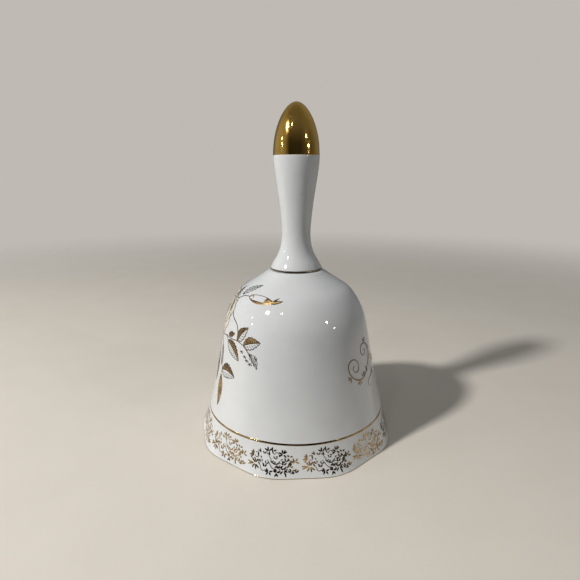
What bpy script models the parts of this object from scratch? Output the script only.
"""A glazed porcelain hand bell with fired-gold trim and a bead clapper on a brass chain.

The bell stands on its rim at Z = 0 with its axis on Z. The body is a slip-cast shell whose
mouth swells into shallow lobes. The hollow handle is stuck to the crown at the neck, under
a gold line. Inside, a plug set in the throat holds a wire eye, and three chain links carry
the clapper: a porcelain bead that turns on a wire pin.
"""

import math

import bpy
from mathutils import Matrix, Vector

MM = 0.001

# Body outline, from the neck down to the rim: radius, height, heading and the reach of the
# curve before and after the point, in millimetres. A heading is the angle outward from
# straight down, in radians.
BODY_OUTLINE = (
    (11.00, 73.50, 0.85, 0.0, 3.8),
    (21.94, 66.04, 0.98, 4.0, 3.9),
    (30.62, 51.04, 0.19, 6.1, 11.4),
    (38.80, 12.50, 0.29, 10.4, 2.4),
    (42.85, 0.00, 0.50, 3.8, 0.0),
)
# Handle outline, from the tip down to the foot, in the same terms.
HANDLE_OUTLINE = (
    (0.00, 140.0, math.pi / 2, 0.0, 4.4),
    (9.45, 119.5, 0.00, 11.6, 8.0),
    (6.15, 87.60, 0.00, 13.2, 7.0),
    (10.95, 74.10, 0.49, 5.3, 0.0),
)

# Body
BODY_SEGMENTS = 54
WALL = 2.4 * MM
CROWN_TOP = BODY_OUTLINE[0][1] * MM
THROAT_RADIUS = 5.6 * MM
LOBES = 9
LOBE_HEIGHT = 0.67 * MM
LOBE_PHASE = math.radians(14)
SKIRT_LINE_HEIGHT = BODY_OUTLINE[3][1] * MM

# Handle
HANDLE_SEGMENTS = 36
HANDLE_WALL = 2.4 * MM
HOLLOW_TOP = 134.0 * MM
TIP_EDGE_HEIGHT = 119.6 * MM
SPIGOT_RADIUS = 5.4 * MM
SPIGOT_BORE = 3.8 * MM
SPIGOT_END = 71.2 * MM

# Fired gold, drawn thick enough to be a solid and let into the porcelain under it
GILDING = 0.25 * MM
SET_GAP = 0.05 * MM
LET_IN = GILDING + SET_GAP
SKIRT_LINE_WIDTH = 0.8 * MM
NECK_LINE_WIDTH = 0.5 * MM
NECK_LINE_DEPTH = 1.4 * MM
RIM_LINE_WIDTH = 0.5 * MM

# Plug in the throat
SEAT_GAP = 0.1 * MM
PLUG_STEM_RADIUS = SPIGOT_BORE - 2 * SEAT_GAP
PLUG_DISC_RADIUS = 8.0 * MM
PLUG_DISC_DEPTH = 3.0 * MM
PLUG_TOP = 77.0 * MM

# Wire eye, chain and clapper
WIRE_RADIUS = 0.6 * MM
WIRE_GAP = 0.1 * MM
EYE_BEND_RADIUS = 2.0 * MM
EYE_BOTTOM = 64.5 * MM
EYE_LEG_TOP = 75.4 * MM
EYE_HOLE_RADIUS = WIRE_RADIUS + 0.2 * MM
LINK_COUNT = 3
LINK_BEND_RADIUS = 1.9 * MM
LINK_HALF_LENGTH = 6.0 * MM
BEAD_RADIUS = 6.5 * MM
BEAD_BORE = WIRE_RADIUS + 0.09 * MM
PIN_EYE_RADIUS = 1.8 * MM
PIN_NECK = 4.0 * MM
PIN_HEAD_RADIUS = 1.5 * MM
PIN_HEAD_DEPTH = 0.7 * MM

HOOKED = 2 * WIRE_RADIUS + WIRE_GAP
LINK_PITCH = 2 * LINK_HALF_LENGTH - HOOKED
PIN_PIVOT = EYE_BOTTOM - LINK_COUNT * LINK_PITCH
BEAD_CENTRE = PIN_PIVOT + HOOKED - 2 * PIN_EYE_RADIUS - PIN_NECK - BEAD_RADIUS


def clear_scene():
    for obj in list(bpy.data.objects):
        bpy.data.objects.remove(obj, do_unlink=True)


def new_collection(name, hidden=False):
    collection = bpy.data.collections.new(name)
    bpy.context.scene.collection.children.link(collection)
    collection.hide_render = hidden
    return collection


def new_material(name, colour, roughness, metallic=0.0):
    material = bpy.data.materials.new(name)
    material.use_nodes = True
    shader = material.node_tree.nodes["Principled BSDF"]
    shader.inputs["Base Color"].default_value = (*colour, 1.0)
    shader.inputs["Roughness"].default_value = roughness
    shader.inputs["Metallic"].default_value = metallic
    material.diffuse_color = (*colour, 1.0)
    return material


def add_object(name, data, collection, material=None, at=0.0):
    """A new object whose origin is on the bell's axis at height `at`."""
    obj = bpy.data.objects.new(name, data)
    obj.location = (0.0, 0.0, at)
    collection.objects.link(obj)
    if material:
        data.materials.append(material)
    return obj


# Profiles: lists of (radius, height) in metres


def along(outline, steps):
    """Points along an outline's curves, with this many steps between its knots."""
    points = []
    for first, second in zip(outline, outline[1:]):
        ends = []
        for knot, reach in ((first, first[4]), (second, -second[3])):
            radius, height, heading = knot[:3]
            ends.append(Vector((radius, height)))
            ends.append(Vector((math.sin(heading), -math.cos(heading))) * reach)
        start, end = ends[0], ends[2]
        handles = start + ends[1], end + ends[3]
        for step in range(steps + (second is outline[-1])):
            t = step / steps
            point = (
                start * (1 - t) ** 3
                + handles[0] * 3 * t * (1 - t) ** 2
                + handles[1] * 3 * t**2 * (1 - t)
                + end * t**3
            )
            points.append((point.x * MM, point.y * MM))
    return points


def radius_at(profile, height):
    """The radius of a falling profile at one height."""
    for (r0, z0), (r1, z1) in zip(profile, profile[1:]):
        if z1 <= height <= z0:
            return r0 + (r1 - r0) * (z0 - height) / (z0 - z1)
    raise ValueError(f"the profile has no point at height {height}")


def cut_between(profile, top, bottom):
    """The part of a falling profile between two heights, with its ends exactly there."""
    inside = [point for point in profile if bottom < point[1] < top]
    return [(radius_at(profile, top), top), *inside, (radius_at(profile, bottom), bottom)]


def inset(profile, depth):
    """A falling profile moved inward, square to itself."""
    moved = []
    last = len(profile) - 1
    for index, (radius, height) in enumerate(profile):
        before = profile[max(index - 1, 0)]
        after = profile[min(index + 1, last)]
        run = Vector((after[0] - before[0], after[1] - before[1])).normalized()
        moved.append((radius + run.y * depth, height - run.x * depth))
    return moved


def lobe_share(height):
    """How much of the lobes is left at a height: all at the rim, none at the skirt line."""
    share = 1.0 - height / (SKIRT_LINE_HEIGHT - SKIRT_LINE_WIDTH)
    share = min(max(share, 0.0), 1.0)
    return share * share * (3 - 2 * share)


# Shape makers


def turned(name, profile, segments, collection, material, closed=True, at=0.0):
    """A profile turned about Z. A closed one is a ring, and an open one ends on the axis."""
    points = [(radius, 0.0, height - at) for radius, height in profile]
    edges = [(i, i + 1) for i in range(len(points) - 1)]
    if closed:
        edges.append((len(points) - 1, 0))
    mesh = bpy.data.meshes.new(name)
    mesh.from_pydata(points, edges, [])
    obj = add_object(name, mesh, collection, material, at)
    screw = obj.modifiers.new("Turn", "SCREW")
    screw.axis = "Z"
    screw.steps = segments
    screw.render_steps = segments
    screw.use_merge_vertices = True
    screw.merge_threshold = 0.000001
    return obj


def bake(obj):
    """Replaces an object's mesh by its evaluated one and drops its modifiers."""
    graph = bpy.context.evaluated_depsgraph_get()
    mesh = bpy.data.meshes.new_from_object(obj.evaluated_get(graph))
    obj.modifiers.clear()
    obj.data = mesh


def swell_into_lobes(obj):
    bake(obj)
    for vertex in obj.data.vertices:
        radius = math.hypot(vertex.co.x, vertex.co.y)
        angle = math.atan2(vertex.co.y, vertex.co.x) - LOBE_PHASE
        swell = LOBE_HEIGHT * lobe_share(vertex.co.z) * math.cos(LOBES * angle)
        stretch = (radius + swell) / radius
        vertex.co.x *= stretch
        vertex.co.y *= stretch


def wire(name, points, collection, material, at=0.0, cyclic=False, radius=WIRE_RADIUS):
    """A round wire through (x, y, z) points. A fourth number scales the wire there."""
    curve = bpy.data.curves.new(name, "CURVE")
    curve.dimensions = "3D"
    curve.bevel_depth = radius
    curve.bevel_resolution = 2
    curve.use_fill_caps = True
    spline = curve.splines.new("POLY")
    spline.points.add(len(points) - 1)
    for target, point in zip(spline.points, points):
        target.co = (*point[:3], 1.0)
        target.radius = point[3] if len(point) > 3 else 1.0
    spline.use_cyclic_u = cyclic
    return add_object(name, curve, collection, material, at)


def arc(radius, centre_height, start, end, steps):
    """(x, z) points on a circle about the axis, from one angle to another in degrees."""
    points = []
    for step in range(steps + 1):
        angle = math.radians(start + (end - start) * step / steps)
        points.append((radius * math.cos(angle), centre_height + radius * math.sin(angle)))
    return points


def standing(points, quarter_turn=False):
    """Flat (x, z) points stood up in the XZ plane, or in the YZ plane after a quarter turn."""
    return [(0.0, x, z) if quarter_turn else (x, 0.0, z) for x, z in points]


# The bell's pieces


def body_outer():
    return along(BODY_OUTLINE, 6)


def handle_outer():
    return along(HANDLE_OUTLINE, 6)


def make_body(collection, glaze):
    outer = body_outer()
    groove_top = SKIRT_LINE_HEIGHT + SKIRT_LINE_WIDTH / 2 + SET_GAP
    groove_bottom = SKIRT_LINE_HEIGHT - SKIRT_LINE_WIDTH / 2 - SET_GAP
    rebate_top = RIM_LINE_WIDTH + SET_GAP
    groove = [
        (radius_at(outer, height) - LET_IN, height)
        for height in (groove_top, groove_bottom)
    ]
    rebate = [
        (radius_at(outer, height) - LET_IN, height) for height in (rebate_top, 0.0)
    ]
    outside = [
        *cut_between(outer, CROWN_TOP, groove_top),
        *groove,
        *cut_between(outer, groove_bottom, rebate_top),
        *rebate,
    ]
    under_crown = CROWN_TOP - WALL
    inner = [point for point in inset(along(BODY_OUTLINE, 4), WALL) if point[1] > 0.0]
    inner = [point for point in inner if point[1] < under_crown]
    rim_inner = (rebate[1][0] - WALL + LET_IN, 0.0)
    crown = [(inner[0][0] - WALL, under_crown), (THROAT_RADIUS, under_crown)]
    profile = [(THROAT_RADIUS, CROWN_TOP), *outside, rim_inner, *reversed(inner), *crown]
    body = turned("bell_body", profile, BODY_SEGMENTS, collection, glaze)
    swell_into_lobes(body)
    return body


def make_handle(collection, glaze):
    outer = handle_outer()
    foot = outer[-1]
    tip = inset(cut_between(outer, outer[0][1], TIP_EDGE_HEIGHT), LET_IN)
    tip[0] = (0.0, outer[0][1] - LET_IN)
    tip[-1] = (tip[-1][0], TIP_EDGE_HEIGHT)
    shaft = cut_between(outer, TIP_EDGE_HEIGHT, foot[1])
    hollow = inset(cut_between(along(HANDLE_OUTLINE, 4), HOLLOW_TOP, foot[1]), HANDLE_WALL)
    hollow = [point for point in hollow if CROWN_TOP + WALL < point[1] < HOLLOW_TOP]
    seat = CROWN_TOP + SEAT_GAP
    profile = [
        *tip,
        *shaft,
        (foot[0] - NECK_LINE_DEPTH, foot[1]),
        (foot[0] - NECK_LINE_DEPTH, seat),
        (SPIGOT_RADIUS, seat),
        (SPIGOT_RADIUS, SPIGOT_END),
        (SPIGOT_BORE, SPIGOT_END),
        (SPIGOT_BORE, CROWN_TOP + WALL / 2),
        *reversed(hollow),
        (0.0, HOLLOW_TOP),
    ]
    return turned("handle", profile, HANDLE_SEGMENTS, collection, glaze, closed=False)


def make_tip_gilding(collection, gold):
    outer = handle_outer()
    outside = cut_between(outer, outer[0][1], TIP_EDGE_HEIGHT)
    outside[0] = (0.0, outer[0][1])
    inside = inset(outside, GILDING)
    inside[0] = (0.0, outer[0][1] - GILDING)
    inside[-1] = (inside[-1][0], TIP_EDGE_HEIGHT)
    bottom = TIP_EDGE_HEIGHT + SET_GAP
    outside[-1] = (outside[-1][0], bottom)
    inside[-1] = (inside[-1][0], bottom)
    profile = [*outside, *reversed(inside)]
    return turned(
        "tip_gilding", profile, HANDLE_SEGMENTS, collection, gold, closed=False
    )


def make_line(name, top, bottom, collection, gold):
    """A gold line laid round the body between two heights, flush with the glaze."""
    outer = body_outer()
    ends = [(radius_at(outer, height), height) for height in (top, bottom)]
    backs = [(radius - GILDING, height) for radius, height in reversed(ends)]
    line = turned(name, [*ends, *backs], BODY_SEGMENTS, collection, gold)
    swell_into_lobes(line)
    return line


def make_neck_line(collection, gold):
    foot_radius = HANDLE_OUTLINE[-1][0] * MM
    middle = (CROWN_TOP + HANDLE_OUTLINE[-1][1] * MM) / 2
    half = NECK_LINE_WIDTH / 2
    inner = foot_radius - NECK_LINE_DEPTH + SET_GAP
    profile = [
        (foot_radius, middle + half),
        (foot_radius, middle - half),
        (inner, middle - half),
        (inner, middle + half),
    ]
    return turned("neck_gilding", profile, HANDLE_SEGMENTS, collection, gold)


def make_plug(collection, cutters, plaster):
    disc_top = CROWN_TOP - WALL - SEAT_GAP
    profile = [
        (0.0, PLUG_TOP),
        (PLUG_STEM_RADIUS, PLUG_TOP),
        (PLUG_STEM_RADIUS, disc_top),
        (PLUG_DISC_RADIUS, disc_top),
        (PLUG_DISC_RADIUS - WALL / 2, disc_top - PLUG_DISC_DEPTH),
        (0.0, disc_top - PLUG_DISC_DEPTH),
    ]
    plug = turned("throat_plug", profile, 32, collection, plaster, closed=False)
    for side in (-1, 1):
        bpy.ops.mesh.primitive_cylinder_add(
            vertices=16,
            radius=EYE_HOLE_RADIUS,
            depth=2 * (EYE_LEG_TOP - EYE_BOTTOM),
            location=(side * EYE_BEND_RADIUS, 0.0, EYE_BOTTOM + SEAT_GAP),
        )
        drill = bpy.context.object
        drill.name = f"leg_drill_{'left' if side < 0 else 'right'}"
        for owner in drill.users_collection:
            owner.objects.unlink(drill)
        cutters.objects.link(drill)
        drill.hide_render = True
        cut = plug.modifiers.new(drill.name, "BOOLEAN")
        cut.operation = "DIFFERENCE"
        cut.object = drill
    return plug


def make_anchor_eye(collection, brass):
    bend_centre = EYE_BOTTOM + EYE_BEND_RADIUS
    bend = arc(EYE_BEND_RADIUS, bend_centre, 180, 360, 12)
    outline = [(-EYE_BEND_RADIUS, EYE_LEG_TOP), *bend, (EYE_BEND_RADIUS, EYE_LEG_TOP)]
    points = [(x, y, z - EYE_BOTTOM) for x, y, z in standing(outline)]
    return wire("anchor_eye", points, collection, brass, at=EYE_BOTTOM)


def make_link(number, collection, brass):
    """A chain link hooked under the wire above it, with its origin on that wire's axis."""
    centre = HOOKED - LINK_HALF_LENGTH
    shift = LINK_HALF_LENGTH - LINK_BEND_RADIUS
    upper = arc(LINK_BEND_RADIUS, centre + shift, 0, 180, 10)
    lower = arc(LINK_BEND_RADIUS, centre - shift, 180, 360, 10)
    points = standing([*upper, *lower], quarter_turn=number % 2 == 1)
    height = EYE_BOTTOM - (number - 1) * LINK_PITCH
    return wire(f"chain_link_{number}", points, collection, brass, height, cyclic=True)


def make_clapper_pin(collection, brass):
    """A headed wire whose upper end is bent round into an eye."""
    eye_centre = HOOKED - PIN_EYE_RADIUS
    eye = arc(PIN_EYE_RADIUS, eye_centre, -50, 245, 16)
    bend = eye_centre - PIN_EYE_RADIUS - WIRE_RADIUS * 2
    head_top = BEAD_CENTRE - PIN_PIVOT - BEAD_RADIUS
    head_bottom = head_top - PIN_HEAD_DEPTH
    head_scale = PIN_HEAD_RADIUS / WIRE_RADIUS
    points = [
        (0.0, 0.0, head_bottom, head_scale),
        (0.0, 0.0, head_top - SET_GAP, head_scale),
        (0.0, 0.0, head_top, 1.0),
        (0.0, 0.0, bend, 1.0),
        *standing(eye),
    ]
    return wire("clapper_pin", points, collection, brass, at=PIN_PIVOT)


def make_bead(collection, glaze):
    reach = math.degrees(math.asin(BEAD_BORE / BEAD_RADIUS))
    profile = arc(BEAD_RADIUS, BEAD_CENTRE, 90 - reach, reach - 90, 14)
    return turned("clapper_bead", profile, 28, collection, glaze, at=BEAD_CENTRE)


def hang(child, parent):
    """Parents a piece to the one that carries it, without moving it."""
    bpy.context.view_layer.update()
    child.parent = parent
    child.matrix_parent_inverse = parent.matrix_world.inverted()


def build():
    clear_scene()
    pieces = new_collection("porcelain_bell")
    cutters = new_collection("cutters", hidden=True)
    glaze = new_material("white_glaze", (0.86, 0.86, 0.85), 0.12)
    gold = new_material("fired_gold", (0.72, 0.50, 0.20), 0.18, metallic=1.0)
    brass = new_material("brass_wire", (0.70, 0.52, 0.26), 0.32, metallic=1.0)
    plaster = new_material("plaster", (0.78, 0.76, 0.71), 0.9)

    root = add_object("bell", None, pieces)
    line_top = SKIRT_LINE_HEIGHT + SKIRT_LINE_WIDTH / 2
    line_bottom = SKIRT_LINE_HEIGHT - SKIRT_LINE_WIDTH / 2
    fixed = [
        make_body(pieces, glaze),
        make_handle(pieces, glaze),
        make_tip_gilding(pieces, gold),
        make_neck_line(pieces, gold),
        make_line("skirt_gilding", line_top, line_bottom, pieces, gold),
        make_line("rim_gilding", RIM_LINE_WIDTH, 0.0, pieces, gold),
        make_plug(pieces, cutters, plaster),
        make_anchor_eye(pieces, brass),
    ]
    for piece in fixed:
        hang(piece, root)
    carrier = root
    for number in range(1, LINK_COUNT + 1):
        link = make_link(number, pieces, brass)
        hang(link, carrier)
        carrier = link
    pin = make_clapper_pin(pieces, brass)
    hang(pin, carrier)
    hang(make_bead(pieces, glaze), pin)


build()
